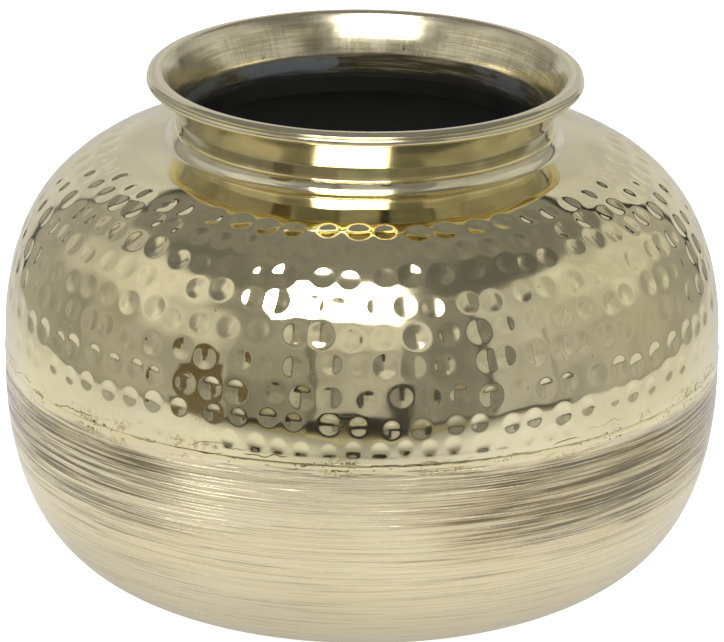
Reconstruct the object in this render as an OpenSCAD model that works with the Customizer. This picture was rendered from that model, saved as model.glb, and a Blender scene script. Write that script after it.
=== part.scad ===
// Brass kalash water pot: a spun bowl and a hammered shoulder brazed together at the
// belly, with a turned neck and a reinforced lip. Millimetres, +Z up, and the origin is
// on the floor at the centre of the foot. Every piece is a body of revolution about Z.

/* [Body] */
// Outer diameter of the belly
belly_d = 280; // [250:1:320]
// Height of the brazed seam above the floor
seam_z = 94; // [85:1:105]
// Height of the straight belt that holds the seam
belt_h = 8; // [7:0.5:12]
// Diameter of the foot, where the bowl meets the floor
foot_d = 120; // [110:1:140]
// Depth of the hollow pressed up inside the foot
foot_hollow = 1.5; // [0.5:0.1:3]
// Thickness of the brass sheet
wall = 1.2; // [0.9:0.1:1.5]

/* [Curvature] */
// Height of the shoulder's full curve above the belt, at the axis
crown_h = 84; // [78:1:92]
// Fullness of the bowl in height
bowl_rise = 2.3; // [2:0.05:2.8]
// Fullness of the bowl in width
bowl_spread = 5.15; // [4:0.05:6]
// Fullness of the shoulder in height
shoulder_rise = 2.36; // [2:0.02:2.8]
// Fullness of the shoulder in width
shoulder_spread = 4.2; // [3.6:0.1:5]

/* [Neck] */
// Outer diameter of the collar's top edge
ridge_d = 149.4; // [148.6:0.2:150.4]
// Height of the collar's edge above the shoulder's curve
ridge_rise = 4; // [3.8:0.1:6]
// Radius of the sweep from the shoulder up to the collar
collar_sweep = 4.4; // [2.4:0.2:4.4]
// Diameter of the straight throat
throat_d = 142; // [140:0.5:143]
// Outer diameter of the neck's straight part
neck_d = 146.8; // [146:0.2:147.4]
// Length of neck that shows between the collar and the start of the flare
waist_h = 5.6; // [4:0.2:8]
// Length of neck that hangs below the collar's edge
neck_lap = 8.4; // [7.4:0.2:10]

/* [Lip] */
// Diameter of the mouth's inner edge
mouth_d = 157.4; // [155:0.2:159]
// Height of the mouth's inner edge above the start of the outer flare
mouth_rise = 16.2; // [14:0.2:18]
// Outer diameter of the lip's top plate
lip_d = 168.6; // [167:0.2:169]
// Greatest diameter of the ring under the lip
rim_d = 169.6; // [169.2:0.2:171]
// Height of the ring under the lip
ring_h = 3.2; // [2.6:0.2:4]

/* [Joints] */
// Height of the gap between the two halves, filled with brazing metal
seam_gap = 1.2; // [0.8:0.1:1.6]
// How far the brazed bead stands out from the belly
bead_out = 0.4; // [0.2:0.1:0.6]
// Size of the brazed fillet above the collar's edge
fillet = 1; // [0.6:0.1:1.2]
// Thickness of the black lacquer inside the pot
coat = 0.4; // [0.3:0.1:0.6]

/* [Hidden] */
$fn = 120;
curve_steps = 36;
arc_steps = 10;

belly_r = belly_d / 2;
inside_r = belly_r - wall;
lap_r = inside_r - wall;
foot_r = foot_d / 2;
collar_lean = 0.2;
ridge_r = ridge_d / 2;
root_r = ridge_r + collar_lean;
throat_r = throat_d / 2;
neck_r = neck_d / 2;
mouth_r = mouth_d / 2;
lip_r = lip_d / 2;
rim_r = rim_d / 2;

// The belt, the gap in it, and the joggled edge of the bowl that laps inside the shoulder
belt_low = seam_z - belt_h / 2;
belt_top = seam_z + belt_h / 2;
gap_low = seam_z - seam_gap / 2;
gap_top = seam_z + seam_gap / 2;
lap_below_curve = 0.4;
lap_top = belt_top - lap_below_curve;
joggle_top = gap_low - wall;
bead_overlap = 0.5;
bead_half_h = seam_gap / 2 + bead_overlap;

// The bowl's curve reaches the floor exactly at the foot
bowl_h = belt_low / pow(1 - pow(foot_r / belly_r, bowl_spread), 1 / bowl_rise);
land_w = 12;
hollow_slope_w = 4;
land_r = foot_r - land_w;
hollow_r = land_r - hollow_slope_w;
hollow_shift = tan(atan(foot_hollow / hollow_slope_w) / 2);

// Heights up the neck, each measured from the one below it
root_z = belt_top + crown_h * pow(1 - pow(root_r / belly_r, shoulder_spread), 1 / shoulder_rise);
ridge_z = root_z + ridge_rise;
neck_low_z = ridge_z - neck_lap;
flare_z = ridge_z + waist_h;
mouth_z = flare_z + mouth_rise;
throat_past_waist = 1.5;
throat_below_ridge = 2.4;
throat_top_z = flare_z + throat_past_waist;
throat_low_z = ridge_z - throat_below_ridge;
throat_taper = 0.8;
fillet_hollow = fillet / 5;

// The lip's plate is domed and falls towards its edge, and the ring sits under it in a rebate
dome = 1;
plate_fall = 0.7;
plate_edge = 0.3;
plate_chamfer = 0.4;
ring_w = 3.9;
ring_batter = 0.5;
lip_z = mouth_z - plate_fall;
seat_z = lip_z - plate_edge - plate_chamfer;
seat_r = lip_r - plate_chamfer;
ring_in_r = seat_r - ring_w;
ring_low_z = seat_z - ring_h;
ring_low_r = seat_r - ring_batter;

// How far the flare's outer and inner faces bow off their chords
flare_bow = 0.4;
mouth_bow = 1;

function unit(v) = v / norm(v);

// Points along a circular arc from a to b whose middle stands off the chord, to its left
function arc_points(a, b, stand_off, steps = arc_steps) =
  let (
    along = unit(b - a),
    side = [-along[1], along[0]] * sign(stand_off),
    rise = abs(stand_off),
    span = norm(b - a) / 2,
    radius = (span * span + rise * rise) / (2 * rise),
    half = asin(span / radius),
    centre = (a + b) / 2 - side * radius * cos(half)
  )
  [for (i = [0:steps])
    let (turn = half * (2 * i / steps - 1))
    centre + radius * (along * sin(turn) + side * cos(turn))];

// Points that round a corner between two straight edges
function rounded_corner(before, corner, after, radius, steps = arc_steps) =
  let (
    back = unit(before - corner),
    ahead = unit(after - corner),
    half = acos(back * ahead) / 2,
    centre = corner + unit(back + ahead) * radius / sin(half),
    start = corner + back * radius / tan(half),
    end = corner + ahead * radius / tan(half)
  )
  [for (i = [0:steps])
    centre + radius * unit(start + (end - start) * i / steps - centre)];

// A point on the curve (r / width) ^ spread + (z / height) ^ rise = 1, moved inwards by depth
function curve_point(t, width, height, spread, rise, depth) =
  let (
    r = width * pow(cos(t), 2 / spread),
    z = height * pow(sin(t), 2 / rise),
    normal = unit([
      spread / width * pow(r / width, spread - 1),
      rise / height * pow(z / height, rise - 1)
    ])
  )
  [r, z] - depth * normal;

// The curve from the belt, where t is 0, to the radius end_r
function curve_end(end_r, spread) = acos(pow(end_r / belly_r, spread / 2));

function bowl_curve(depth) =
  [for (i = [0:curve_steps])
    let (
      t = i / curve_steps * curve_end(foot_r, bowl_spread),
      p = curve_point(t, belly_r, bowl_h, bowl_spread, bowl_rise, depth)
    )
    [p[0], belt_low - p[1]]];

function shoulder_curve(end_r, depth) =
  [for (i = [0:curve_steps])
    let (
      t = i / curve_steps * curve_end(end_r, shoulder_spread),
      p = curve_point(t, belly_r, crown_h, shoulder_spread, shoulder_rise, depth)
    )
    [p[0], belt_top + p[1]]];

function reversed(points) = [for (i = [len(points) - 1:-1:0]) points[i]];

// The underside of the foot and of the lining over it, at a depth inside the outer face
function foot_floor(depth) = [
  [land_r + hollow_shift * depth, depth],
  [hollow_r + hollow_shift * depth, foot_hollow + depth],
  [0, foot_hollow + depth]
];

// The inner face of the joggled lap, from its top edge down to the bowl, standing off by gap
function joggle_inside(gap) = [
  [lap_r - gap, joggle_top + gap * tan(22.5)],
  [inside_r - gap, joggle_top - wall + gap * tan(22.5)]
];

// The pot's inside from the centre of the foot up to the throat, standing off by gap
function inside_outline(gap, tip) =
  concat(
    reversed(foot_floor(wall + gap)),
    reversed(bowl_curve(wall + gap)),
    reversed(joggle_inside(gap)),
    [[lap_r - gap, lap_top + gap], [inside_r - gap, lap_top + gap]],
    shoulder_curve(root_r, wall + gap),
    [
      [neck_r + gap, shoulder_curve(root_r, wall + gap)[curve_steps][1]],
      [neck_r + gap, neck_low_z - gap],
      [throat_r + throat_taper - gap, neck_low_z - gap]
    ],
    tip
  );

module lower_bowl()
  color([0.80, 0.69, 0.44])
  rotate_extrude()
  polygon(concat(
    [[belly_r, gap_low]],
    bowl_curve(0),
    foot_floor(0),
    reversed(foot_floor(wall)),
    reversed(bowl_curve(wall)),
    reversed(joggle_inside(0)),
    [[lap_r, lap_top], [inside_r, lap_top], [inside_r, gap_low]]
  ));

module upper_shell() {
  root = [root_r, root_z];
  ridge = [ridge_r, ridge_z];
  shoulder = shoulder_curve(root_r + collar_sweep, 0);
  underside = shoulder_curve(root_r, wall);
  color([0.87, 0.80, 0.60])
  rotate_extrude()
  polygon(concat(
    [[belly_r, gap_top]],
    shoulder,
    rounded_corner(shoulder[curve_steps], root, ridge, collar_sweep),
    [ridge, [neck_r, ridge_z], [neck_r, underside[curve_steps][1]]],
    reversed(underside),
    [[inside_r, gap_top]]
  ));
}

module neck_collar() {
  flare_low = [throat_r, throat_top_z];
  mouth = [mouth_r, mouth_z];
  lip = [lip_r, lip_z];
  waist = [neck_r, flare_z];
  color([0.78, 0.64, 0.33])
  rotate_extrude()
  polygon(concat(
    [[throat_r + throat_taper, neck_low_z], [throat_r, throat_low_z]],
    arc_points(flare_low, mouth, mouth_bow),
    arc_points(mouth, lip, dome),
    [[lip_r, lip_z - plate_edge], [seat_r, seat_z], [ring_in_r, seat_z]],
    arc_points([ring_in_r, ring_low_z], waist, -flare_bow),
    [[neck_r, neck_low_z]]
  ));
}

module rim_ring() {
  edge = [seat_r, seat_z];
  low = [ring_low_r, ring_low_z];
  color([0.84, 0.74, 0.46])
  rotate_extrude()
  polygon(concat(
    [[ring_in_r, seat_z]],
    arc_points(edge, low, rim_r - (seat_r + ring_low_r) / 2),
    [[ring_in_r, ring_low_z]]
  ));
}

module seam_braze() {
  bead_low = [belly_r, seam_z - bead_half_h];
  bead_top = [belly_r, seam_z + bead_half_h];
  color([0.28, 0.22, 0.12])
  rotate_extrude()
  polygon(concat(
    [[inside_r, gap_low], [belly_r, gap_low]],
    arc_points(bead_low, bead_top, -bead_out),
    [[belly_r, gap_top], [inside_r, gap_top]]
  ));
}

module neck_braze() {
  foot = [neck_r + fillet, ridge_z];
  head = [neck_r, ridge_z + fillet];
  color([0.66, 0.55, 0.30])
  rotate_extrude()
  polygon(concat([[neck_r, ridge_z]], arc_points(foot, head, fillet_hollow)));
}

module inner_lacquer() {
  tip = [[throat_r, throat_low_z]];
  color([0.08, 0.08, 0.08])
  rotate_extrude()
  polygon(concat(inside_outline(0, tip), reversed(inside_outline(coat, []))));
}

lower_bowl();
upper_shell();
neck_collar();
rim_ring();
seam_braze();
neck_braze();
inner_lacquer();
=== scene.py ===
"""Visual model of a brass kalash pot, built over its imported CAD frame. Metres, +Z up.

Each piece is a body of revolution whose outline is read from its CAD node, refined, and
given its relief: hammer marks, brush lines, turning waves and an uneven brazed seam. The
materials add haze, hairlines, stains, flux and the ragged black edge in the throat.
"""
import math

import bpy
import numpy as np
from mathutils import Euler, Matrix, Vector


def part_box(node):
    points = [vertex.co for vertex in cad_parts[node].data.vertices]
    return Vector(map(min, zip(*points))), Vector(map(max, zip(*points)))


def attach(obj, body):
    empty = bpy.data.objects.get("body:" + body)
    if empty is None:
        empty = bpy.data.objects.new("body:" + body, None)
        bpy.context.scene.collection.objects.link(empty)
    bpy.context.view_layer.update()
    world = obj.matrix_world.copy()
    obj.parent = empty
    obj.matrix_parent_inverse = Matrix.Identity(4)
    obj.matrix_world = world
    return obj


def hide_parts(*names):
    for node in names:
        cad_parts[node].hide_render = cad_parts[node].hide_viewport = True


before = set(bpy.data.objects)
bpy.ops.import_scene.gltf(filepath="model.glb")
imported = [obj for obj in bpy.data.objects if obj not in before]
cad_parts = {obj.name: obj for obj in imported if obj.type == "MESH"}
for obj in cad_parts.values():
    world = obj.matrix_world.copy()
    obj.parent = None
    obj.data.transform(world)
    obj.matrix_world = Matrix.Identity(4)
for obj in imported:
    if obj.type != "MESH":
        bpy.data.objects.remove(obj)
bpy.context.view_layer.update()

MM = 0.001
RANDOM_SEED = 20

# ---------------- outlines from the frame

SAME_CIRCLE = 0.02 * MM
SHARP_DEG = 17
KINK_DEG = 5
KINK_SHARE = 0.6
MOST_CUT = 0.3


def circles_of(node):
    """The (r, z) of each circle that a CAD node's vertices lie on, and the joined pairs."""
    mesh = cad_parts[node].data
    co = np.empty(len(mesh.vertices) * 3)
    mesh.vertices.foreach_get("co", co)
    co = co.reshape(-1, 3)
    rz = np.c_[np.hypot(co[:, 0], co[:, 1]), co[:, 2]]
    circles = []
    owner = np.full(len(rz), -1)
    while (owner < 0).any():
        first = rz[np.argmax(owner < 0)]
        near = (owner < 0) & (np.abs(rz - first).max(axis=1) < SAME_CIRCLE)
        owner[near] = len(circles)
        circles.append(rz[near].mean(axis=0))
    ends = np.empty(len(mesh.edges) * 2, dtype=int)
    mesh.edges.foreach_get("vertices", ends)
    pairs = {tuple(sorted(p)) for p in owner[ends.reshape(-1, 2)] if p[0] != p[1]}
    return circles, pairs


def outline_of(node):
    """The outline of a CAD node in order, with the metal on its left, and if it is closed."""
    circles, pairs = circles_of(node)
    joined = {i: [] for i in range(len(circles))}
    for a, b in pairs:
        joined[a].append(b)
        joined[b].append(a)
    loose = [i for i, others in joined.items() if len(others) == 1]
    closed = not loose
    start = min(loose or joined, key=lambda i: circles[i][1])
    order = [start]
    while len(order) < len(circles):
        order.append(next(i for i in joined[order[-1]] if i not in order))
    points = np.array([circles[i] for i in order])
    if not closed:
        points = np.vstack([[0, points[0][1]], points, [0, points[-1][1]]])
    after = np.roll(points, -1, axis=0)
    area = (points[:, 0] * after[:, 1] - after[:, 0] * points[:, 1]).sum()
    return (points if area > 0 else points[::-1]), closed


def smooth_step(value, low, high):
    """0 below low, 1 above high, and smooth between."""
    t = np.clip((value - low) / (high - low), 0, 1)
    return t * t * (3 - 2 * t)


def unit(v):
    """Vectors of length one, along the last axis."""
    return v / np.maximum(np.linalg.norm(v, axis=-1, keepdims=True), 1e-12)


def turn_left(v):
    """A vector in the (r, z) plane turned by a quarter turn."""
    return np.stack([-v[..., 1], v[..., 0]], axis=-1)


def bends(points, closed):
    """How far the outline turns at each point, in degrees."""
    if closed:
        before, after = np.roll(points, 1, axis=0), np.roll(points, -1, axis=0)
    else:
        before = np.vstack([points[:1], points[:-1]])
        after = np.vstack([points[1:], points[-1:]])
    back, ahead = unit(points - before), unit(after - points)
    cosine = np.clip((back * ahead).sum(axis=1), -1, 1)
    turn = np.degrees(np.arccos(cosine))
    if not closed:
        turn[0] = turn[-1] = 90
    return turn


def sharp_points(points, closed):
    """True where the outline has a corner, and not a step of a curve."""
    turn = bends(points, closed)
    unlike = np.ones(len(turn), dtype=bool)
    for shift in (1, -1):
        unlike &= np.abs(turn - np.roll(turn, shift)) > KINK_SHARE * turn
    return (turn > SHARP_DEG) | ((turn > KINK_DEG) & unlike)


def segment_curve(a, b, dir_a, dir_b, steps):
    """Points and directions on a cubic from a to b, without b."""
    span = np.linalg.norm(b - a)
    t = (np.arange(steps) / steps)[:, None]
    point = (
        (2 * t**3 - 3 * t**2 + 1) * a
        + (t**3 - 2 * t**2 + t) * span * dir_a
        + (3 * t**2 - 2 * t**3) * b
        + (t**3 - t**2) * span * dir_b
    )
    slope = (
        (6 * t**2 - 6 * t) * (a - b)
        + (3 * t**2 - 4 * t + 1) * span * dir_a
        + (3 * t**2 - 2 * t) * span * dir_b
    )
    return point, unit(slope)


def mirrored(direction, chord):
    """The direction at the other end of an arc over this chord."""
    return 2 * (direction * chord).sum() * chord - direction


def refined(points, closed, spacing, edge):
    """The outline with smooth curves between its corners, and corners rounded by edge.

    spacing gives the distance wanted between points at an (r, z) and its outward normal.
    Returns points, directions along the outline and arc lengths.
    """
    count = len(points)
    sharp = sharp_points(points, closed)
    chord = unit(np.roll(points, -1, axis=0) - points)
    smooth = unit(chord + np.roll(chord, 1, axis=0))
    out_points, out_dirs = [], []
    for i in range(count if closed else count - 1):
        k = (i + 1) % count
        a, b = points[i], points[k]
        dir_a, dir_b = smooth[i], smooth[k]
        if sharp[i] and sharp[k]:
            dir_a = dir_b = chord[i]
        elif sharp[i]:
            dir_a = mirrored(dir_b, chord[i])
        elif sharp[k]:
            dir_b = mirrored(dir_a, chord[i])
        length = np.linalg.norm(b - a)
        cut = min(edge, MOST_CUT * length)
        on_axis = not closed and (i == 0 or k == count - 1)
        start = a + dir_a * cut if sharp[i] and not (on_axis and i == 0) else a
        end = b - dir_b * cut if sharp[k] and not (on_axis and k == count - 1) else b
        wanted = spacing((a + b) / 2, -turn_left(chord[i]))
        steps = max(1, math.ceil(np.linalg.norm(end - start) / wanted))
        p, d = segment_curve(start, end, dir_a, dir_b, steps)
        out_points += [*p, end]
        out_dirs += [*d, dir_b]
        if sharp[k] and (closed or k < count - 1):
            after = (k + 1) % count
            next_dir = chord[k] if sharp[after] else mirrored(smooth[after], chord[k])
            next_length = np.linalg.norm(points[after] - b)
            leave = b + next_dir * min(edge, MOST_CUT * next_length)
            for t in (0.25, 0.5, 0.75):
                out_points.append((1 - t) ** 2 * end + 2 * t * (1 - t) * b + t**2 * leave)
                out_dirs.append(unit((1 - t) * (b - end) + t * (leave - b)))
        elif closed or k < count - 1:
            out_points.pop()
            out_dirs.pop()
    p, d = np.array(out_points), np.array(out_dirs)
    gaps = np.linalg.norm(np.diff(p, axis=0), axis=1)
    return p, d, np.concatenate([[0], np.cumsum(gaps)])


# ---------------- meshes of revolution


def ring_angles(count):
    """Angles of the columns of a mesh of revolution, from the back of the pot."""
    return math.pi / 2 + np.arange(count) / count * 2 * math.pi


def slopes(height, lengths, radii, angles):
    """The slope of a relief along the outline and around the axis."""
    along = np.gradient(height, lengths, axis=0)
    wide = np.concatenate([height[:, -1:], height, height[:, :1]], axis=1)
    step = angles[1] - angles[0]
    around = (wide[:, 2:] - wide[:, :-2]) / (2 * step * np.maximum(radii, MM)[:, None])
    return along, around


LEAN_FROM, LEAN_TO = 165 * MM, 183 * MM
LEAN_SHIFT = 0.6 * MM
LEAN_SLOPE = 0.0045
LEAN_PIVOT = 85 * MM


def leant(grid):
    """The grid with the hand-fitted neck leaning a little to one side."""
    share = smooth_step(grid[..., 2], LEAN_FROM, LEAN_TO)
    grid = grid.copy()
    grid[..., 2] -= share * LEAN_SLOPE * (grid[..., 0] + LEAN_PIVOT)
    grid[..., 0] += share * LEAN_SHIFT
    return grid


def revolve(name, node, columns, spacing, edge=0.15 * MM, relief=None):
    """A mesh piece that stands for a CAD node, with its outline revolved around Z.

    relief(points, normals, lengths, angles) gives how far each grid point stands out.
    """
    outline, closed = outline_of(node)
    points, dirs, lengths = refined(outline, closed, spacing, edge)
    lengths = np.maximum.accumulate(lengths + np.arange(len(lengths)) * 1e-9)
    normals = -turn_left(dirs)
    angles = ring_angles(columns)
    cos, sin = np.cos(angles), np.sin(angles)
    height = np.zeros((len(points), columns))
    if relief is not None:
        height = relief(points, normals, lengths, angles)
    along, around = slopes(height, lengths, points[:, 0], angles)
    out_r = points[:, :1] + height * normals[:, :1]
    out_z = np.maximum(points[:, 1:] + height * normals[:, 1:], outline[:, 1].min())
    grid = np.stack([out_r * cos, out_r * sin, out_z + 0 * cos], axis=-1)
    n_r = normals[:, :1] - along * dirs[:, :1]
    n_z = normals[:, 1:] - along * dirs[:, 1:]
    shade = [n_r * cos + around * sin, n_r * sin - around * cos, n_z + 0 * cos]
    shade = unit(np.stack(shade, axis=-1))
    grid = leant(grid)
    streak = np.stack(
        [cos + 0 * out_r, sin + 0 * out_r, np.broadcast_to(lengths[:, None], out_r.shape)], axis=-1
    )
    if closed:
        grid, shade, streak = grid[:-1], shade[:-1], streak[:-1]
    inward = np.broadcast_to(-normals[: len(grid), :1], grid.shape[:2])
    return grid_piece(name, grid, shade, streak, inward, closed)


def grid_piece(name, grid, shade, streak, inward, closed):
    """The object made of a grid of points, whose rows go around the axis.

    An open outline starts and ends on the axis, where fans of triangles close it.
    """
    rows, columns = grid.shape[:2]
    index = np.arange(rows * columns).reshape(rows, columns)
    right = np.roll(index, -1, axis=1)
    up = np.roll(index, -1, axis=0)
    up_right = np.roll(right, -1, axis=0)
    body = slice(0, rows) if closed else slice(1, rows - 2)
    quads = np.stack([index[body], right[body], up_right[body], up[body]], axis=-1).reshape(-1, 4)
    caps = np.empty((0, 3), dtype=int)
    keep = np.ones(rows * columns, dtype=bool)
    if not closed:
        first = np.stack([np.full(columns, index[0, 0]), right[1], index[1]], axis=-1)
        last = np.stack([np.full(columns, index[-1, 0]), index[-2], right[-2]], axis=-1)
        caps = np.concatenate([first, last])
        keep[index[0, 1:]] = False
        keep[index[-1, 1:]] = False
    renumber = np.cumsum(keep) - 1
    loops = np.concatenate([renumber[quads].ravel(), renumber[caps].ravel()])
    starts = np.concatenate([np.arange(len(quads)) * 4, len(quads) * 4 + np.arange(len(caps)) * 3])
    mesh = bpy.data.meshes.new(name)
    mesh.vertices.add(int(keep.sum()))
    mesh.vertices.foreach_set("co", grid.reshape(-1, 3)[keep].ravel())
    mesh.loops.add(len(loops))
    mesh.loops.foreach_set("vertex_index", loops)
    mesh.polygons.add(len(starts))
    mesh.polygons.foreach_set("loop_start", starts)
    mesh.update(calc_edges=True)
    mesh.validate()
    mesh.polygons.foreach_set("use_smooth", np.ones(len(mesh.polygons), dtype=bool))
    mesh.normals_split_custom_set_from_vertices(shade.reshape(-1, 3)[keep])
    around = mesh.attributes.new("around", "FLOAT_VECTOR", "POINT")
    around.data.foreach_set("vector", streak.reshape(-1, 3)[keep].ravel())
    facing = mesh.attributes.new("inward", "FLOAT", "POINT")
    facing.data.foreach_set("value", inward.reshape(-1)[keep])
    piece = bpy.data.objects.new(name, mesh)
    bpy.context.scene.collection.objects.link(piece)
    return piece


# ---------------- relief

MARK_PITCH = 11.6 * MM
ROW_PITCH = 0.97 * MARK_PITCH
LOWEST_ROW_PITCH = 0.82 * MARK_PITCH
MARK_ROWS = 9
ROW_WANDER = 0.6 * MM
ROW_WAVER = 0.65 * MM
MARK_RADIUS = 4.45 * MM
MARK_DEPTH = 0.56 * MM
MARK_SIZES = (0.86, 1.06)
MARK_DEPTHS = (0.6, 1.15)
MARK_SOFTNESS = 0.2
ANGLE_WANDER = 0.11
DEEPEST_RELIEF = 1.08 * MM
LOWEST_MARK_LEVEL = 2.8 * MM
ROW_DROPS = (2.6 * MM, 1.6 * MM)
LOW_ROW_SIZES = (0.72, 0.82)
MARK_PULL = 0.3
PULL_REACH = 1.9
UNDULATION = 0.05 * MM
UNDULATION_WAVES = 14
SHELL_SUNK = 0.1 * MM
FADE_BELOW_BELT = 3.4 * MM
LOW_ROW_STRUCK = ((0.0, 0.6), (-1.3, -0.4))
LOW_ROW_DEPTHS = (0.6, 0.9)


def mark_places(rng, radius_at):
    """Centres, radii and depths of the hammer marks, row by row up from the belt."""
    for row in range(MARK_ROWS):
        level = LOWEST_MARK_LEVEL + row * ROW_PITCH
        if row:
            level += rng.normal(0, ROW_WANDER) - (ROW_DROPS[0] if row == 1 else ROW_DROPS[1])
        pitch = MARK_PITCH if row else LOWEST_ROW_PITCH
        count = round(2 * math.pi * radius_at(level) / pitch)
        phase = rng.uniform(0, 2 * math.pi)
        drift = rng.uniform(0, 2 * math.pi, 3)
        for k in range(count):
            angle = phase + (k + rng.normal(0, ANGLE_WANDER)) * 2 * math.pi / count
            waver = sum(math.cos((n + 2) * angle + drift[n]) for n in range(3)) * ROW_WAVER
            size = MARK_RADIUS * rng.uniform(*MARK_SIZES) * (LOW_ROW_SIZES[row] if row < 2 else 1)
            depth = MARK_DEPTH * rng.uniform(*MARK_DEPTHS) * (size / MARK_RADIUS) ** 1.8
            if row < 2:
                struck = smooth_step(-math.cos(2 * angle), *LOW_ROW_STRUCK[row])
                size, depth = size * (0.6 + 0.4 * struck), depth * struck * LOW_ROW_DEPTHS[row]
            yield level + waver + rng.normal(0, ROW_WANDER), angle, size, depth


RING_WAVE = 0.3 * MM
RING_WAVE_TURNS = 1.1
RING_WAVE_START = 3 * MM
RING_DISH = 0.5 * MM
RING_DISH_START = 1.6 * MM
RING_DISH_MIDDLE = 9 * MM
RING_DISH_END = 26 * MM


def ring_wave(radii, inner, outer):
    """The dish and the wave of the smooth ring around the collar."""
    t = np.clip((radii - inner) / (outer - inner), 0, 1)
    wave = np.sqrt(1 - t) * np.cos(RING_WAVE_TURNS * 2 * math.pi * t)
    wave = wave * smooth_step(radii, inner - RING_WAVE_START, inner)
    middle = inner + RING_DISH_MIDDLE
    sunk = smooth_step(radii, inner - RING_DISH_START, middle)
    sunk = sunk - smooth_step(radii, middle, inner + RING_DISH_END)
    return -RING_WAVE * wave - RING_DISH * sunk


def hammered(belt_top, ring_inner, ring_outer):
    """Relief of the shoulder: rows of hammer marks from the belt up to the smooth ring."""

    def relief(points, normals, lengths, angles):
        rng = np.random.default_rng(RANDOM_SEED)
        belt = np.nonzero(normals[:, 0] > 0.9)[0]
        outside = np.zeros(len(points), dtype=bool)
        outside[belt[0] : np.argmax(points[:, 1])] = True
        up_lengths = lengths - lengths[belt[points[belt, 1] > belt_top][0]]
        radius_at = lambda level: float(np.interp(level, up_lengths, points[:, 0]))
        column = angles[1] - angles[0]
        marks = np.zeros((len(points), len(angles)))
        pull = np.zeros_like(marks)
        for level, angle, size, depth in mark_places(rng, radius_at):
            reach = 2 * PULL_REACH * size
            rows = np.nonzero((np.abs(up_lengths - level) < reach) & outside)[0]
            radius = radius_at(level)
            middle = round((angle - angles[0]) / column)
            half = math.ceil(reach / radius / column)
            spread = middle + np.arange(-half, half + 1)
            sideways = (angles[0] + spread * column - angle) * radius
            patch = np.ix_(rows, spread % len(angles))
            away = np.hypot(up_lengths[rows][:, None] - level, sideways[None, :]) / size
            inside = np.logaddexp(0, (1 - away**2) / MARK_SOFTNESS) * MARK_SOFTNESS
            marks[patch] = np.minimum(marks[patch], -depth * inside)
            pull[patch] -= MARK_PULL * depth * np.exp(-((away / PULL_REACH) ** 2))
        height = marks + pull
        for _ in range(UNDULATION_WAVES):
            turns = rng.integers(5, 26)
            wave = rng.uniform(22, 60) * MM
            phase = rng.uniform(0, 2 * math.pi, 2)
            ripple = np.cos(turns * angles + phase[0])[None, :]
            ripple = ripple * np.cos(2 * math.pi * up_lengths / wave + phase[1])[:, None]
            height += UNDULATION * rng.normal() * 0.4 * ripple
        fade = smooth_step(points[:, 1], belt_top - FADE_BELOW_BELT, belt_top + MM) * outside
        height = (height - SHELL_SUNK) * fade[:, None]
        ring = ring_wave(points[:, 0], ring_inner, ring_outer) * outside
        return np.maximum(height + ring[:, None], -DEEPEST_RELIEF)

    return relief


BRUSH_DEPTH = 0.012 * MM
BRUSH_KNOTS = 26
BOWL_SUNK = 0.03 * MM
BRUSH_FADE = 4 * MM
BRUSH_FULL_RADIUS = 40 * MM


def brushed(brush_top):
    """Relief of the bowl: brush lines around it, below the smooth band at its top."""

    def relief(points, normals, lengths, angles):
        rng = np.random.default_rng(RANDOM_SEED + 1)
        outside = (normals[:, 0] > 0) | (normals[:, 1] < -0.5)
        knots = rng.normal(size=(len(points), BRUSH_KNOTS))
        at = (angles - angles[0]) / (2 * math.pi) * BRUSH_KNOTS
        low = np.floor(at).astype(int)
        share = at - low
        share = share * share * (3 - 2 * share)
        lines = knots[:, low % BRUSH_KNOTS] * (1 - share)
        lines += knots[:, (low + 1) % BRUSH_KNOTS] * share
        fade = np.clip((brush_top - points[:, 1]) / BRUSH_FADE, 0, 1) * outside
        fade = fade * np.clip(points[:, 0] / BRUSH_FULL_RADIUS, 0, 1)
        return (BRUSH_DEPTH * lines - BOWL_SUNK) * fade[:, None]

    return relief


TURNED_WAVES = 10
TURNED_SUNK = 0.4


def turned(depth):
    """Relief of a turned ring: faint unevenness left by the tool."""

    def relief(points, normals, lengths, angles):
        rng = np.random.default_rng(RANDOM_SEED + 2)
        height = np.zeros((len(points), len(angles)))
        for _ in range(TURNED_WAVES):
            turns = rng.integers(2, 14)
            wave = rng.uniform(4, 14) * MM
            phase = rng.uniform(0, 2 * math.pi, 2)
            ripple = np.cos(turns * angles + phase[0])[None, :]
            along = np.cos(2 * math.pi * lengths / wave + phase[1])[:, None]
            height += rng.normal() * ripple * along
        return depth * (height / TURNED_WAVES - TURNED_SUNK)

    return relief


LUMPS = 90
FILED_SHARE = 0.9
MOST_LUMP = 0.6


def nearly_flush(belly_r):
    """Relief of the belly's braze: filed almost flush, with small lumps left on it."""

    def relief(points, normals, lengths, angles):
        rng = np.random.default_rng(RANDOM_SEED + 3)
        proud = np.clip(points[:, 0] - belly_r, 0, None)
        lumps = np.zeros((len(points), len(angles)))
        for _ in range(LUMPS):
            angle = rng.uniform(0, 2 * math.pi)
            width = rng.uniform(0.6, 3) * MM / belly_r
            off = np.abs((angles - angle + math.pi) % (2 * math.pi) - math.pi) / width
            lumps += rng.uniform(0.1, 0.6) * np.exp(-(off**2))[None, :]
        return -proud[:, None] * (FILED_SHARE - np.clip(lumps, 0, MOST_LUMP))

    return relief


# ---------------- materials

# Heights and radii are given to materials in millimetres. A ramp's numbers are the ends of
# its input, then those of its output.


def new_material(name):
    """An empty node material, its tree and its output."""
    made = bpy.data.materials.new(name)
    made.use_nodes = True
    made.node_tree.nodes.clear()
    out = new_node(made.node_tree, "OutputMaterial")
    return made, made.node_tree, out


def put(tree, target, value):
    """Links a socket, or sets a value, on an input."""
    if isinstance(value, bpy.types.NodeSocket):
        tree.links.new(value, target)
    else:
        target.default_value = value


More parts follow.
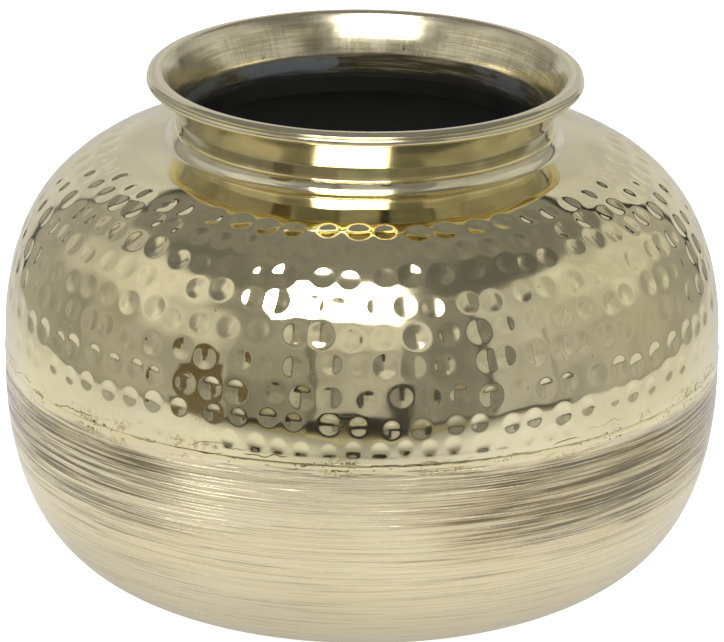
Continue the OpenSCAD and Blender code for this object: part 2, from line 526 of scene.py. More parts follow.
def new_node(tree, kind, **values):
    """A new shader node, with values or links on its named inputs."""
    made = tree.nodes.new("ShaderNode" + kind)
    for name, value in values.items():
        put(tree, made.inputs[name.replace("_", " ")], value)
    return made


def math_node(tree, operation, *values):
    """The output of a Math node."""
    made = new_node(tree, "Math")
    made.operation = operation
    for target, value in zip(made.inputs, values):
        put(tree, target, value)
    return made.outputs[0]


def joined(tree, operation, values):
    """Values joined two at a time by Math nodes."""
    found = values[0]
    for value in values[1:]:
        found = math_node(tree, operation, found, value)
    return found


def times(tree, *values):
    """The product of values."""
    return joined(tree, "MULTIPLY", values)


def plus(tree, *values):
    """The sum of values."""
    return joined(tree, "ADD", values)


def minus(tree, a, b):
    """The first value less the second."""
    return math_node(tree, "SUBTRACT", a, b)


def largest(tree, *values):
    """The largest of values."""
    return joined(tree, "MAXIMUM", values)


def distance_from(tree, value, level):
    """How far a value is from a level, either way."""
    return math_node(tree, "ABSOLUTE", minus(tree, value, level))


def mixed(tree, share, a, b):
    """A colour mix."""
    made = new_node(tree, "Mix")
    made.data_type = "RGBA"
    put(tree, made.inputs["Factor"], share)
    put(tree, made.inputs[6], a)
    put(tree, made.inputs[7], b)
    return made.outputs[2]


def mixed_value(tree, share, a, b):
    """A number mix."""
    made = new_node(tree, "Mix")
    made.data_type = "FLOAT"
    put(tree, made.inputs["Factor"], share)
    put(tree, made.inputs[2], a)
    put(tree, made.inputs[3], b)
    return made.outputs[0]


def ramp(tree, value, low, high, to_low=0.0, to_high=1.0, kind="SMOOTHSTEP"):
    """value mapped from low..high to to_low..to_high."""
    made = new_node(tree, "MapRange")
    made.interpolation_type = kind
    for target, each in zip(made.inputs, (value, low, high, to_low, to_high)):
        put(tree, target, each)
    return made.outputs["Result"]


def noise(tree, vector, scale, detail=3.0, rough=0.5, distort=0.0):
    """A noise texture over a vector."""
    made = new_node(
        tree, "TexNoise", Vector=vector, Scale=scale, Detail=detail, Roughness=rough,
        Distortion=distort,
    )
    return made.outputs["Fac"]


def place(tree):
    """The position on the pot, in metres."""
    return new_node(tree, "TexCoord").outputs["Object"]


def attribute(tree, name):
    """An attribute of the mesh."""
    made = new_node(tree, "Attribute")
    made.attribute_name = name
    return made


def around_vector(tree, turn, length, shift):
    """A vector that changes by turn around the pot and by length per metre of outline."""
    around = attribute(tree, "around").outputs["Vector"]
    scale, shift = (turn, turn, length), (shift, shift, shift)
    made = new_node(tree, "Mapping", Vector=around, Location=shift, Scale=scale)
    return made.outputs["Vector"]


def speckled(tree, scale, **settings):
    """A noise over the pot's own space."""
    return noise(tree, place(tree), scale, **settings)


def streaked(tree, turn, length, shift=0.0, **settings):
    """A noise drawn out around the pot."""
    return noise(tree, around_vector(tree, turn, length, shift), 1.0, **settings)


def height_and_radius(tree):
    """The height above the floor and the distance from the axis, in millimetres."""
    split = new_node(tree, "SeparateXYZ")
    put(tree, split.inputs[0], place(tree))
    z = times(tree, split.outputs[2], 1 / MM)
    xx = times(tree, split.outputs[0], split.outputs[0])
    yy = times(tree, split.outputs[1], split.outputs[1])
    r = math_node(tree, "SQRT", plus(tree, xx, yy))
    return z, times(tree, r, 1 / MM)


def bumped(tree, height, strength, distance):
    """A normal from a height."""
    made = new_node(tree, "Bump", Strength=strength, Distance=distance, Height=height)
    return made.outputs["Normal"]


def principled(tree, out, **values):
    """Puts a Principled shader on the output."""
    made = new_node(tree, "BsdfPrincipled", **values)
    tree.links.new(made.outputs[0], out.inputs["Surface"])


BRASS = (0.88, 0.785, 0.48, 1)
BRASS_PALE = (0.92, 0.83, 0.555, 1)
BRASS_DEEP = (0.80, 0.715, 0.42, 1)
BRASS_DULL = (0.56, 0.46, 0.27, 1)
TARNISH = (0.20, 0.145, 0.07, 1)
SOOT = (0.013, 0.013, 0.012, 1)
FLUX = (0.46, 0.36, 0.12, 1)

# The turn and the stretch of each set of scratches.
SCRATCH_SETS = ((0.3, (90, 900, 500)), (1.2, (1000, 110, 420)), (2.2, (700, 500, 100)))


def fine_scratches(tree):
    """Sparse hairline scratches, 1 on a line and 0 elsewhere."""
    found = []
    for turn, stretch in SCRATCH_SETS:
        turns = (turn, 0.4 * turn, turn)
        made = new_node(tree, "Mapping", Vector=place(tree), Rotation=turns, Scale=stretch)
        lines = noise(tree, made.outputs["Vector"], 1.0, detail=1.0)
        found.append(ramp(tree, distance_from(tree, lines, 0.5), 0.0, 0.012, 1.0, 0.0))
    patches = ramp(tree, speckled(tree, 28.0, detail=2.0), 0.52, 0.7)
    return times(tree, largest(tree, *found), patches)


def facing_angle(tree, degrees, noise_turn, sway):
    """How nearly a point faces an angle around the pot, 1 there and ragged at its edges."""
    dot = new_node(tree, "VectorMath")
    dot.operation = "DOT_PRODUCT"
    put(tree, dot.inputs[0], attribute(tree, "around").outputs["Vector"])
    turn = math.radians(degrees)
    dot.inputs[1].default_value = (math.sin(turn), -math.cos(turn), 0)
    ragged = streaked(tree, noise_turn, 260.0, degrees)
    return plus(tree, dot.outputs["Value"], times(tree, ragged, sway))


def crack(tree, z, level, sway, turn, half_width, shift):
    """A broken wavy line around the pot, 1 on it and 0 elsewhere."""
    wave = streaked(tree, turn, 0.0, shift, detail=4.0, rough=0.6)
    course = plus(tree, level - sway / 2, times(tree, wave, sway))
    line = ramp(tree, distance_from(tree, z, course), half_width * 0.4, half_width, 1.0, 0.0)
    broken = streaked(tree, 7.0, 0.0, shift + 3, detail=2.0)
    return times(tree, line, ramp(tree, broken, 0.5, 0.6))


def seam_dirt(tree, z, seam_z):
    """Cracks, pits and specks of dirt near the seam."""
    line = crack(tree, z, seam_z + 1.2, 17.0, 3.4, 0.3, 1.0)
    loop = crack(tree, z, seam_z + 3.5, 16.0, 6.0, 0.16, 8.0)
    near = ramp(tree, distance_from(tree, z, seam_z), 0.8, 5.5, 1.0, 0.0)
    grain = speckled(tree, 520.0, detail=2.0, rough=0.6)
    clumps = ramp(tree, speckled(tree, 45.0, detail=2.0), 0.5, 0.66)
    spots = times(tree, grain, near, ramp(tree, clumps, 0.0, 1.0, 0.85, 1.1))
    return largest(tree, line, loop, ramp(tree, spots, 0.545, 0.61))


def flux_crust(tree, z, seam_z):
    """Patches of yellow-brown flux left near the seam, 1 on a grain and 0 elsewhere."""
    near = ramp(tree, distance_from(tree, z, seam_z + 0.6), 2.0, 7.0, 1.0, 0.0)
    clumps = ramp(tree, speckled(tree, 42.0, detail=2.0, distort=0.4), 0.47, 0.58)
    grains = ramp(tree, speckled(tree, 560.0, rough=0.7), 0.44, 0.62)
    return times(tree, near, clumps, grains)


def soiled(tree, colour, flux, dirt):
    """A colour with the seam's flux and dirt on it."""
    colour = mixed(tree, times(tree, flux, 0.7), colour, FLUX)
    return mixed(tree, times(tree, dirt, 0.85), colour, TARNISH)


COLLAR_BRASS = (0.86, 0.785, 0.56, 1)


def hammered_brass(seam_z, throat_r):
    """Polished brass with faint haze and hairlines, duller on the collar."""
    made, tree, out = new_material("hammered_brass")
    z, r = height_and_radius(tree)
    collar = ramp(tree, r, throat_r + 6, throat_r + 12, 1.0, 0.0)
    haze = speckled(tree, 45.0, detail=4.0)
    cloud = speckled(tree, 9.0)
    hairs = fine_scratches(tree)
    dirt = seam_dirt(tree, z, seam_z)
    flux = flux_crust(tree, z, seam_z)
    specks = ramp(tree, speckled(tree, 620.0, detail=1.0), 0.76, 0.8)

    colour = mixed(tree, ramp(tree, cloud, 0.3, 0.7), BRASS, BRASS_PALE)
    colour = mixed(tree, collar, colour, COLLAR_BRASS)
    colour = mixed(tree, times(tree, hairs, 0.25), colour, BRASS_DULL)
    colour = mixed(tree, times(tree, specks, 0.5), colour, TARNISH)
    colour = soiled(tree, colour, flux, dirt)

    high = ramp(tree, z, seam_z + 30, seam_z + 80, 0.25, 1.0)
    dust_and_painted_light = times(tree, high, ramp(tree, cloud, 0.42, 0.62))
    rough = plus(
        tree,
        ramp(tree, haze, 0.35, 0.75, 0.035, 0.08),
        times(tree, dust_and_painted_light, 0.07),
        times(tree, hairs, 0.12),
        times(tree, dirt, 0.4),
        times(tree, flux, 0.3),
        times(tree, collar, 0.05),
    )
    ripple = speckled(tree, 160.0)
    height = plus(tree, ripple, times(tree, hairs, -0.6))
    height = minus(tree, height, times(tree, dirt, 2.0))
    principled(
        tree, out, Base_Color=colour, Metallic=1.0, Roughness=rough,
        Normal=bumped(tree, height, 0.12, 0.00004),
    )
    return made


THROAT_BRASS = (0.085, 0.075, 0.04, 1)
THROAT_STREAK = (0.30, 0.26, 0.15, 1)
WAIST_PAINTED_SHADE = (0.52, 0.48, 0.31, 1)
FLARE_BRASS = (0.85, 0.78, 0.565, 1)
FLARE_STAIN = (0.52, 0.465, 0.28, 1)
FLARE_PAINTED_SHADE = (0.34, 0.3, 0.19, 1)
LIP_BRASS = (0.82, 0.755, 0.54, 1)
HAZE = (0.115, 0.12, 0.125, 1)


def flare_finish(tree, lines, strokes, blotch):
    """The colour of the flare's inside: pale, stained in streaks, with dark spots, and darker on
    its left side as painted shade.
    """
    chatter = streaked(tree, 70.0, 40.0, 9.0, detail=2.0)
    stain = plus(
        tree,
        times(tree, blotch, 0.34),
        times(tree, strokes, 0.36),
        times(tree, lines, 0.3),
        times(tree, chatter, 0.16),
    )
    flare = mixed(tree, ramp(tree, stain, 0.5, 0.66, 0.0, 0.9), FLARE_BRASS, FLARE_STAIN)
    spots = speckled(tree, 210.0, rough=0.6)
    flare = mixed(tree, ramp(tree, spots, 0.66, 0.74, 0.0, 0.6), flare, TARNISH)
    # Painted shade: one side of the flare, set by its angle from the camera's side, is darkened.
    painted_shade_side = ramp(tree, facing_angle(tree, -95, 5.0, 0.2), 0.9, 1.08, 0.0, 0.85)
    return mixed(tree, painted_shade_side, flare, FLARE_PAINTED_SHADE)


def throat_haze(tree, z, strokes, throat_top):
    """Grey overspray in three places around the throat and the foot of the flare."""
    haze = largest(
        tree,
        ramp(tree, facing_angle(tree, -153, 9.0, 0.22), 1.04, 1.075),
        ramp(tree, facing_angle(tree, 130, 9.0, 0.12), 1.02, 1.05, 0.0, 0.8),
        ramp(tree, facing_angle(tree, -112, 9.0, 0.22), 1.06, 1.09, 0.0, 0.8),
    )
    swayed = plus(tree, z, times(tree, strokes, 5.0))
    return times(tree, haze, ramp(tree, swayed, throat_top + 0.5, throat_top + 3.5, 1.0, 0.0))


def turned_brass(throat_low, throat_top):
    """Polished turned brass outside, painted a darker brass on the waist and the flare as painted
    shade; dark and oversprayed in the throat.
    """
    made, tree, out = new_material("turned_brass")
    z, _ = height_and_radius(tree)
    lines = streaked(tree, 0.8, 3000.0, rough=0.7)
    strokes = streaked(tree, 3.0, 900.0, 4.0, detail=4.0, rough=0.65)
    blotch = streaked(tree, 5.0, 110.0, 6.0)
    inner = ramp(tree, attribute(tree, "inward").outputs["Fac"], 0.25, 0.5)

    polished = mixed(tree, ramp(tree, strokes, 0.3, 0.7), BRASS, BRASS_DEEP)
    # Painted shade: the outside of the waist and the flare is painted a darker brass, mottled by
    # blotches.
    waist_painted_shade = times(
        tree,
        ramp(tree, z, throat_low + 3, throat_low + 4.5),
        ramp(tree, z, throat_top + 8, throat_top + 10.5, 1.0, 0.0),
        ramp(tree, blotch, 0.35, 0.65, 0.75, 1.0),
    )
    polished = mixed(tree, waist_painted_shade, polished, WAIST_PAINTED_SHADE)

    wavy = streaked(tree, 3.0, 0.0, 2.0)
    below_flare = plus(tree, z, times(tree, wavy, 2.0))
    dark = ramp(tree, below_flare, throat_top + 0.2, throat_top + 1.8, 1.0, 0.0)
    throat = mixed(tree, ramp(tree, strokes, 0.45, 0.66), THROAT_BRASS, THROAT_STREAK)
    inner_colour = mixed(tree, dark, flare_finish(tree, lines, strokes, blotch), throat)
    haze = throat_haze(tree, z, strokes, throat_top)
    inner_colour = mixed(tree, haze, inner_colour, HAZE)

    edge = plus(tree, z, times(tree, strokes, 7.0), times(tree, blotch, 4.0))
    soot = ramp(tree, edge, throat_low + 6.5, throat_low + 9.5, 1.0, 0.0)
    inner_colour = mixed(tree, times(tree, soot, 0.93), inner_colour, SOOT)
    lip = ramp(tree, z, throat_top + 10.5, throat_top + 12.5, 0.0, 0.85)
    colour = mixed(tree, lip, mixed(tree, inner, polished, inner_colour), LIP_BRASS)

    cover = times(tree, largest(tree, haze, soot), inner)
    sooty = largest(tree, cover, times(tree, dark, inner, 0.5))
    rough = plus(
        tree,
        ramp(tree, lines, 0.3, 0.75, 0.07, 0.13),
        times(tree, lip, 0.06),
        times(tree, inner, ramp(tree, strokes, 0.3, 0.7, 0.05, 0.12)),
        times(tree, sooty, 0.35),
    )
    deeper = plus(tree, times(tree, inner, 1.6), 0.15)
    height = plus(tree, times(tree, lines, 0.35), times(tree, strokes, deeper))
    principled(
        tree, out, Base_Color=colour, Metallic=minus(tree, 1.0, times(tree, sooty, 0.9)),
        Roughness=rough, Normal=bumped(tree, height, 0.16, 0.00006),
    )
    return made


PAINTED_GLINT = (0.97, 0.93, 0.78, 1)
BOWL_PALE = (0.93, 0.822, 0.565, 1)
BOWL_BRASS = (0.89, 0.775, 0.485, 1)
BOWL_STAIN = (0.5, 0.4, 0.23, 1)
STREAK_BROWN = (0.2, 0.155, 0.07, 1)
STREAK_GREY = (0.19, 0.165, 0.11, 1)


def brushed_brass(seam_z):
    """Brass brushed around the bowl: pale, with dark streaks, tarnished patches and painted white
    glints along its grooves.
    """
    made, tree, out = new_material("brushed_brass")
    z, _ = height_and_radius(tree)
    fine = streaked(tree, 2.6, 2600.0, rough=0.65)
    broad = streaked(tree, 2.2, 760.0, 3.0, detail=4.0, rough=0.7)
    patch = streaked(tree, 2.2, 30.0, 7.0, detail=2.0)
    ragged = streaked(tree, 7.0, 420.0, 5.0, detail=2.0)
    edge = plus(tree, z, times(tree, ragged, 8.0))
    brushed_part = ramp(tree, edge, seam_z - 1.5, seam_z + 2.5, 1.0, 0.0)

    left = ramp(tree, facing_angle(tree, -64, 4.0, 0.25), 0.78, 1.06)
    right = ramp(tree, facing_angle(tree, 50, 4.0, 0.25), 0.8, 1.06)
    swayed = plus(tree, z, times(tree, patch, 16.0))
    near_seam = times(
        tree,
        ramp(tree, swayed, seam_z - 42, seam_z - 16),
        ramp(tree, z, seam_z - 7, seam_z - 2, 1.0, 0.3),
    )
    worn = largest(tree, left, right, ramp(tree, patch, 0.52, 0.7, 0.0, 0.8))
    worn = times(tree, worn, near_seam)
    lines = plus(tree, times(tree, broad, 0.58), times(tree, fine, 0.42))
    low = mixed_value(tree, worn, 0.53, 0.43)
    high = mixed_value(tree, worn, 0.67, 0.545)
    streaks = ramp(tree, lines, low, high, kind="LINEAR")
    streaks = times(tree, streaks, mixed_value(tree, worn, 0.6, 0.97), brushed_part)
    stained = times(tree, right, near_seam, 0.5, brushed_part)

    grooves_and_painted_glints = streaked(tree, 0.9, 3100.0, 11.0, detail=2.0)
    grooved = streaked(tree, 1.6, 60.0, 13.0, detail=2.0)
    grooves_and_painted_glints = times(tree, ramp(tree, grooves_and_painted_glints, 0.6, 0.68), ramp(tree, grooved, 0.4, 0.6, 0.3, 1.0))

    streak_colour = mixed(tree, ramp(tree, patch, 0.4, 0.6), STREAK_BROWN, STREAK_GREY)
    colour = mixed(tree, ramp(tree, fine, 0.35, 0.7), BOWL_PALE, BOWL_BRASS)
    colour = mixed(tree, stained, colour, BOWL_STAIN)
    colour = mixed(tree, streaks, colour, streak_colour)
    # Painted highlight: the grooves' colour is pushed to near white so that they glint.
    colour = mixed(tree, times(tree, grooves_and_painted_glints, 0.8), colour, PAINTED_GLINT)
    colour = soiled(tree, colour, flux_crust(tree, z, seam_z), seam_dirt(tree, z, seam_z))
    rough = mixed_value(tree, brushed_part, 0.06, ramp(tree, fine, 0.3, 0.7, 0.13, 0.3))
    height = plus(tree, fine, times(tree, broad, 1.5))
    height = minus(tree, height, times(tree, grooves_and_painted_glints, 3.4))
    height = times(tree, height, brushed_part)
    tangent = new_node(tree, "Tangent")
    tangent.direction_type = "RADIAL"
    tangent.axis = "Z"
    principled(
        tree, out, Base_Color=colour, Metallic=1.0, Roughness=rough, Anisotropic=0.6,
        Anisotropic_Rotation=0.25, Tangent=tangent.outputs[0],
        Normal=bumped(tree, height, 0.6, 0.0001),
    )
    return made


def braze(name, dark_low, dark_high):
    """Brazing metal: brass with dark specks and short dark lines."""
    made, tree, out = new_material(name)
    dashes = streaked(tree, 22.0, 900.0)
    specks = speckled(tree, 800.0, detail=2.0)
    spots = plus(tree, times(tree, dashes, 0.6), times(tree, specks, 0.4))
    dark = ramp(tree, spots, dark_low, dark_high)
    colour = mixed(tree, dark, BRASS, TARNISH)
    rough = ramp(tree, dark, 0.0, 1.0, 0.08, 0.45)
    principled(
        tree, out, Base_Color=colour, Metallic=1.0, Roughness=rough,
        Normal=bumped(tree, spots, 0.3, 0.0001),
    )
    return made


FRESH_BLACKS = (0.009, 0.009, 0.009, 1), (0.013, 0.013, 0.013, 1)
# The greys below lift the black lacquer where light enters the pot: painted light, fainter deep
# down.
DEEP_GREYS = (0.08, 0.08, 0.08, 1), (0.1, 0.1, 0.1, 1)
PAINTED_LIGHT_GREYS = (0.22, 0.22, 0.222, 1), (0.26, 0.26, 0.26, 1)


def black_lacquer(throat_r, belly_z):
    """Matte black sprayed lacquer; away from the throat it is painted grey as painted light,
    lighter under the shoulder than deep down.
    """
    made, tree, out = new_material("black_lacquer")
    z, r = height_and_radius(tree)
    grain = speckled(tree, 900.0)
    cloud = speckled(tree, 30.0)
    clouded = ramp(tree, cloud, 0.3, 0.7)
    fresh = mixed(tree, clouded, *FRESH_BLACKS)
    deep = mixed(tree, clouded, *DEEP_GREYS)
    # Painted light: away from the throat the lacquer is lifted to grey, more under the shoulder
    # than deep down.
    dust_and_painted_light = mixed(tree, clouded, *PAINTED_LIGHT_GREYS)
    dust_and_painted_light = mixed(tree, ramp(tree, z, belly_z + 10, belly_z + 28), deep, dust_and_painted_light)
    colour = mixed(tree, ramp(tree, r, throat_r + 5, throat_r + 14), fresh, dust_and_painted_light)
    rough = ramp(tree, cloud, 0.3, 0.7, 0.5, 0.7)
    principled(
        tree, out, Base_Color=colour, Metallic=0.0, Roughness=rough, Specular_IOR_Level=0.3,
        Normal=bumped(tree, grain, 0.3, 0.0001),
    )
    return made


# ---------------- the pot


def add_piece(piece, node, material):
    """Gives a piece its finish, and lets it stand for its CAD node."""
    piece.data.materials.append(material)
    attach(piece, "root")
    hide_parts(node)


COLLAR_SHEET = 1.3 * MM
RING_INNER = 3.6 * MM
RING_OUTER = 29 * MM
THROAT_LENGTH = 9.5
HAMMERED_COLUMNS = 1600
SEAM_COLUMNS = 1024
TURNED_COLUMNS = 512
LINING_COLUMNS = 256


def even(distance):
    """The same spacing everywhere on an outline."""
    return lambda point, normal: distance


def shell_spacing(belt_top):
    """Close points where the shoulder is hammered, and wide ones inside it."""

    def spacing(point, normal):
        outside = normal[0] > 0.02 or normal[1] > 0.3
        return 0.6 * MM if outside and point[1] > belt_top - 3 * MM else 4 * MM

    return spacing


def bowl_spacing(point, normal):
    """Close points where the bowl is brushed, and wide ones inside it."""
    return 0.7 * MM if normal[0] > 0.01 and normal[1] < 0.3 else 4 * MM


def build_pot():
    """All the pieces of the pot."""
    seam_low, seam_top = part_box("seam_braze")
    seam_z = (seam_low[2] + seam_top[2]) / 2
    belt_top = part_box("lower_bowl")[1][2]
    throat_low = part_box("inner_lacquer")[1][2]
    shell_radii = [r for r, _ in outline_of("upper_shell")[0]]
    belly_r = max(shell_radii)
    collar_r = min(shell_radii) + COLLAR_SHEET
    throat_r = min(r for r, _ in outline_of("neck_collar")[0])

    marks = hammered(belt_top, collar_r + RING_INNER, collar_r + RING_OUTER)
    shell = revolve(
        "hammered_shell", "upper_shell", HAMMERED_COLUMNS, shell_spacing(belt_top), 0.25 * MM, marks
    )
    shell_finish = hammered_brass(seam_z / MM, throat_r / MM)
    add_piece(shell, "upper_shell", shell_finish)

    lines = brushed(seam_z - 2 * MM)
    bowl = revolve("brushed_bowl", "lower_bowl", TURNED_COLUMNS, bowl_spacing, 0.2 * MM, lines)
    add_piece(bowl, "lower_bowl", brushed_brass(seam_z / MM))

    turned_finish = turned_brass(throat_low / MM, throat_low / MM + THROAT_LENGTH)
    waves = turned(0.02 * MM)
    neck = revolve("turned_neck", "neck_collar", TURNED_COLUMNS, even(0.6 * MM), 0.25 * MM, waves)
    add_piece(neck, "neck_collar", turned_finish)
    waves = turned(0.015 * MM)
    ring = revolve("lip_ring", "rim_ring", TURNED_COLUMNS, even(0.6 * MM), 0.2 * MM, waves)
    add_piece(ring, "rim_ring", turned_finish)

    filed = nearly_flush(belly_r)
    seam = revolve("belly_braze", "seam_braze", SEAM_COLUMNS, even(0.3 * MM), 0.05 * MM, filed)
    add_piece(seam, "seam_braze", braze("belly_braze", 0.58, 0.66))
    fillet = revolve("collar_braze", "neck_braze", TURNED_COLUMNS, even(0.3 * MM), 0.05 * MM)
    add_piece(fillet, "neck_braze", braze("collar_braze", 0.6, 0.7))

    lining = revolve("black_lining", "inner_lacquer", LINING_COLUMNS, even(3 * MM), 0.1 * MM)
    lining_finish = black_lacquer(throat_r / MM, seam_z / MM)
    add_piece(lining, "inner_lacquer", lining_finish)


# ---------------- the studio

ROOM_CENTRE = (0.0, 0.0, 0.1)


def emitting(made, tree, out, strength, colour):
    """The material with an emission on its output."""
    emit = new_node(tree, "Emission", Color=colour, Strength=strength)
    tree.links.new(emit.outputs[0], out.inputs["Surface"])
    made.cycles.emission_sampling = "NONE"
    return made


def glow(name, light, tint, uneven):
    """A softly uneven glowing surface, tinted or coloured by its mesh's light attribute."""
    made, tree, out = new_material(name)
    cloud = speckled(tree, 1.7, detail=2.0)
    strength = ramp(tree, cloud, 0.3, 0.7, light * (1 - uneven), light * (1 + uneven))
    colour = (*tint, 1) if tint else attribute(tree, "light").outputs["Color"]
    return emitting(made, tree, out, strength, colour)


def only_reflected(obj):
    """Lets an object show in reflections alone."""
    obj.visible_camera = False
    obj.visible_diffuse = False
    obj.visible_shadow = False
    obj.visible_transmission = False


def room_point(azimuth, elevation, distance):
    """A point seen from the pot at an azimuth from the camera's side and an elevation."""
    a, e = math.radians(azimuth), math.radians(elevation)
    x, y, z = ROOM_CENTRE
    flat = distance * math.cos(e)
    return x + flat * math.sin(a), y - flat * math.cos(a), z + distance * math.sin(e)


def stage_mesh(name, points, faces, material):
    """A mesh that belongs to the stage."""
    mesh = bpy.data.meshes.new(name)
    mesh.from_pydata(points, [], faces)
    mesh.materials.append(material)
    obj = bpy.data.objects.new(name, mesh)
    bpy.context.scene.collection.objects.link(obj)
    return obj


ROOM_DISTANCE = 2.0
ROOM_STEP = 0.5
ROOM_LOWEST = -60
ROOM_UNEVEN = 0.13
NEUTRAL = (1, 1, 0.99)
WARM = (1, 0.99, 0.94)
WOOD = (1, 0.78, 0.46)
FLOORING = (1, 0.9, 0.6)

# Parts of the room: azimuths, elevations, softness across and up, light and tint.
ROOM_PARTS = (
    ((-180, 180), (30, 90), (1, 1), 0.21, NEUTRAL),
    ((28, 100), (50, 72), (14, 8), 0.14, NEUTRAL),
    ((-118, -55), (50, 66), (16, 8), 0.17, NEUTRAL),
    ((-180, 180), (-12, 40), (1, 5), 0.40, WARM),
    ((-120, 118), (30, 47), (8, 4), 0.44, WARM),
    ((-60, 48), (28, 52), (4, 4), 0.30, WARM),
    ((-146, -118), (-12, 37), (1, 5), 0.36, WARM),
    ((-120, -97), (-12, 12), (3, 12), 0.31, WARM),
    ((-124, -98), (14, 44), (9, 9), 0.50, WARM),
    ((-104, -60), (22, 48), (12, 8), 0.70, WARM),
    ((-74, -48), (14, 34), (10, 8), 0.60, WARM),
    ((-41, -13), (-12, 30), (1, 4), 0.33, WARM),
    ((-41, -13), (-12, 3), (1, 8), 0.23, WARM),
    ((-17, -13.5), (-12, 30), (1, 3), 0.17, WARM),
    ((-13.5, 13), (-9.5, 24), (0.5, 4), 0.40, WARM),
    ((-13.5, 20), (22, 40), (2, 6), 0.60, WARM),
    ((13, 40), (-12, 24), (0.5, 3), 0.25, WARM),
    ((22, 40), (-12, 50), (2, 3), 0.22, WARM),
    ((39, 41), (-9, 38), (0.5, 2), 0.1, WARM),
    ((41, 128), (-12, 16), (0.5, 6), 0.40, WARM),
    ((41, 104), (14, 47), (0.5, 6), 0.50, WARM),
    ((74, 96), (30, 46), (8, 8), 0.64, WARM),
    ((94, 132), (16, 38), (10, 8), 0.63, WARM),
    ((60, 62), (-9, 24), (0.5, 3), 0.30, WARM),
    ((128, 142), (-12, 34), (3, 4), 0.37, WARM),
    ((142, 180), (-12, 41), (0.5, 1), 0.58, NEUTRAL),
    ((-180, -142), (-12, 41), (0.5, 1), 0.58, NEUTRAL),
    ((139.5, 142.5), (-8, 43), (0.5, 1), 0.04, NEUTRAL),
    ((-144, -141), (-8, 43), (0.5, 1), 0.04, NEUTRAL),
    ((139.5, 180), (40.5, 43), (0.5, 0.5), 0.04, NEUTRAL),
    ((-180, -141), (40.5, 43), (0.5, 0.5), 0.04, NEUTRAL),
    ((-112, -108), (36, 47), (1, 1), 0.2, WARM),
    ((-180, 180), (-60, -12), (1, 0.5), 0.27, FLOORING),
    ((-16, 14), (-27, -14.5), (2, 1), 0.50, (1, 0.96, 0.7)),
    ((-60, -14), (-12, -9.7), (1, 0.5), 0.045, NEUTRAL),
    ((14, 66), (-11.6, -10.4), (2, 0.5), 0.06, NEUTRAL),
    ((-56, -43), (-18, 6), (0.5, 0.5), 0.135, WOOD),
    ((-53, -46), (6, 13), (0.5, 2), 0.15, WOOD),
    ((-16, 14), (-13.6, -8.6), (1, 0.5), 0.03, NEUTRAL),
    ((9, 15), (-12, 4), (1, 2), 0.06, NEUTRAL),
)


def between(values, low, high, soft):
    """1 between two limits and 0 beyond them, over a soft edge."""
    low_edge = smooth_step(values, low - soft / 2, low + soft / 2) if low > -180 else 1.0
    high_edge = smooth_step(values, high - soft / 2, high + soft / 2) if high < 180 else 0.0
    return low_edge * (1 - high_edge) * np.ones_like(values)


def build_room():
    """What the polished brass reflects: pale walls, a dim ceiling and a dark floor."""
    sides = np.arange(-180, 180 + ROOM_STEP / 2, ROOM_STEP)
    levels = np.arange(ROOM_LOWEST, 90 + ROOM_STEP / 2, ROOM_STEP)
    light = np.zeros((len(levels), len(sides), 3))
    for azimuths, elevations, soft, level, tint in ROOM_PARTS:
        up = between(levels, *elevations, soft[1])[:, None]
        across = between(sides, *azimuths, soft[0])[None, :]
        light += (up * across)[:, :, None] * (level * np.array(tint) - light)
    points = [room_point(a, e, ROOM_DISTANCE) for e in levels for a in sides]
    row = len(sides)
    faces = [
        (i + j * row, i + 1 + j * row, i + 1 + (j + 1) * row, i + (j + 1) * row)
        for j in range(len(levels) - 1)
        for i in range(row - 1)
    ]
    room = stage_mesh("room", points, faces, glow("room", 1.0, None, ROOM_UNEVEN))
    shade = room.data.attributes.new("light", "FLOAT_COLOR", "POINT")
    shade.data.foreach_set("color", np.dstack([light, np.ones(light.shape[:2])]).ravel())
    only_reflected(room)


SOFT_BOX_AIM = (-9.5, 54)
SOFT_BOX_DISTANCE = 1.5
SOFT_BOX_SIZE = (0.94, 0.74)
SOFT_BOX_BOTTOM_WIDTH = 1.14
SOFT_BOX_TOP_WIDTH = 0.82
SOFT_BOX_LIGHT = 8.0
KEY_WATTS = 9


def facing_centre(obj):
    """Turns an object's -Z towards the pot."""
    aim = Vector(ROOM_CENTRE) - obj.location
    obj.rotation_mode = "QUATERNION"
    obj.rotation_quaternion = aim.to_track_quat("-Z", "Y")


def build_lights():
    """The soft box, its glow in the brass, and the pale surroundings."""
    w, h = (painted_shade_side / 2 for painted_shade_side in SOFT_BOX_SIZE)
    low, top = w * SOFT_BOX_BOTTOM_WIDTH, w * SOFT_BOX_TOP_WIDTH
    corners = [(-low, -h, 0), (low, -h, 0), (top, h, 0), (-top, h, 0)]
    shine = glow("soft_box", SOFT_BOX_LIGHT, (1, 1, 1), 0.05)
    box = stage_mesh("soft_box", corners, [(0, 1, 2, 3)], shine)
    box.location = room_point(*SOFT_BOX_AIM, SOFT_BOX_DISTANCE)
    facing_centre(box)
    only_reflected(box)
    lamp = bpy.data.lights.new("key", "AREA")
    lamp.shape = "RECTANGLE"
    lamp.size, lamp.size_y = SOFT_BOX_SIZE
    lamp.energy = KEY_WATTS
    key = bpy.data.objects.new("key", lamp)
    key.location = room_point(*SOFT_BOX_AIM, SOFT_BOX_DISTANCE)
    key.visible_glossy = False
    bpy.context.scene.collection.objects.link(key)
    facing_centre(key)
    world = bpy.data.worlds.new("surroundings")
    world.use_nodes = True
    sky = world.node_tree.nodes["Background"]
    sky.inputs["Color"].default_value = (1, 1, 1, 1)
    sky.inputs["Strength"].default_value = 1.0
    bpy.context.scene.world = world


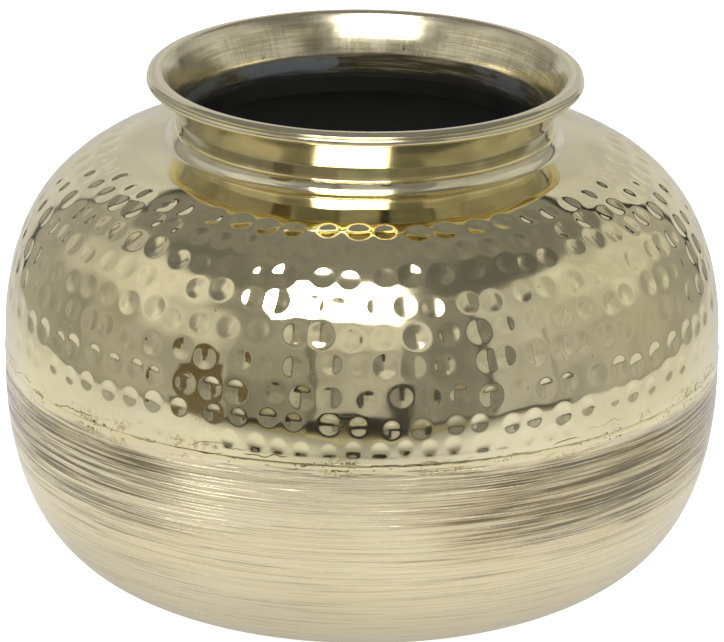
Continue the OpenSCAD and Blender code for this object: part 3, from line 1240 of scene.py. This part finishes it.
def pale_floor():
    """Matte white paper under a high-key light, which lifts most of its shadow."""
    made, tree, out = new_material("pale_floor")
    cloud = speckled(tree, 3.0)
    colour = mixed(tree, cloud, (0.86, 0.86, 0.85, 1), (0.9, 0.9, 0.89, 1))
    principled(
        tree, out, Base_Color=colour, Roughness=0.9, Specular_IOR_Level=0.1,
        Emission_Color=(1, 1, 1, 1), Emission_Strength=0.8,
    )
    made.cycles.emission_sampling = "NONE"
    return made


def table_glow():
    """A glow that stands for the lit table top that the brass reflects: painted shade dims it at
    its edges, and a painted shadow darkens it under the pot.
    """
    made, tree, out = new_material("table_top")
    split = new_node(tree, "SeparateXYZ")
    put(tree, split.inputs[0], place(tree))
    front = ramp(tree, split.outputs[1], -0.48, -0.33, 0.42, 1.0)
    sideways = math_node(tree, "ABSOLUTE", split.outputs[0])
    sides = ramp(tree, sideways, 0.25, 0.55, 1.0, 0.84)
    sides = times(tree, sides, ramp(tree, split.outputs[1], 0.1, 0.4, 1.0, 0.8))
    _, r = height_and_radius(tree)
    # Painted shadow: the glow is darker near the pot's foot.
    painted_pot_shadow = ramp(tree, r, 55.0, 190.0, 0.55, 1.0)
    cloud = ramp(tree, speckled(tree, 5.0, detail=2.0), 0.3, 0.7, 0.76, 0.84)
    light = times(tree, front, sides, painted_pot_shadow, cloud)
    return emitting(made, tree, out, light, (1, 1, 1, 1))


FLOOR_REACH = 6.0
TABLE_SIDE = 0.58
TABLE_FRONT = -0.48
TABLE_BACK = 1.2
TABLE_CORNER = (0.34, -0.22)
TABLE_DROP = -0.0005


def build_floor():
    """The floor that the camera sees, and the table top that the brass reflects."""
    far = FLOOR_REACH
    corners = [(-far, -far, 0), (far, -far, 0), (far, far, 0), (-far, far, 0)]
    floor = stage_mesh("floor", corners, [(0, 1, 2, 3)], pale_floor())
    floor.visible_glossy = False
    floor.visible_shadow = False
    corner_x, corner_y = TABLE_CORNER
    outline = (
        (-TABLE_SIDE, corner_y),
        (-corner_x, TABLE_FRONT),
        (corner_x, TABLE_FRONT),
        (TABLE_SIDE, corner_y),
        (TABLE_SIDE, TABLE_BACK),
        (-TABLE_SIDE, TABLE_BACK),
    )
    points = [(x, y, TABLE_DROP) for x, y in outline]
    table = stage_mesh("table_top", points, [tuple(range(len(points)))], table_glow())
    only_reflected(table)


VIEW_ELEVATION = 19.5
VIEW_DISTANCE = 2.24
VIEW_HEIGHT = 0.102
VIEW_LENS = 283.6
VIEW_ROLL = 0.45


def build_camera():
    """A long lens from the front, a little above the pot."""
    data = bpy.data.cameras.new("camera")
    data.lens = VIEW_LENS
    data.sensor_width = 36
    camera = bpy.data.objects.new("camera", data)
    e = math.radians(VIEW_ELEVATION)
    camera.location = (0, -VIEW_DISTANCE * math.cos(e), VIEW_HEIGHT + VIEW_DISTANCE * math.sin(e))
    tilt = Euler((math.pi / 2 - e, 0, 0)).to_matrix()
    roll = Euler((0, 0, math.radians(VIEW_ROLL))).to_matrix()
    camera.rotation_euler = (tilt @ roll).to_euler()
    bpy.context.scene.collection.objects.link(camera)
    bpy.context.scene.camera = camera


build_camera()
build_floor()
build_room()
build_lights()
build_pot()
bpy.context.scene.view_settings.view_transform = "Standard"
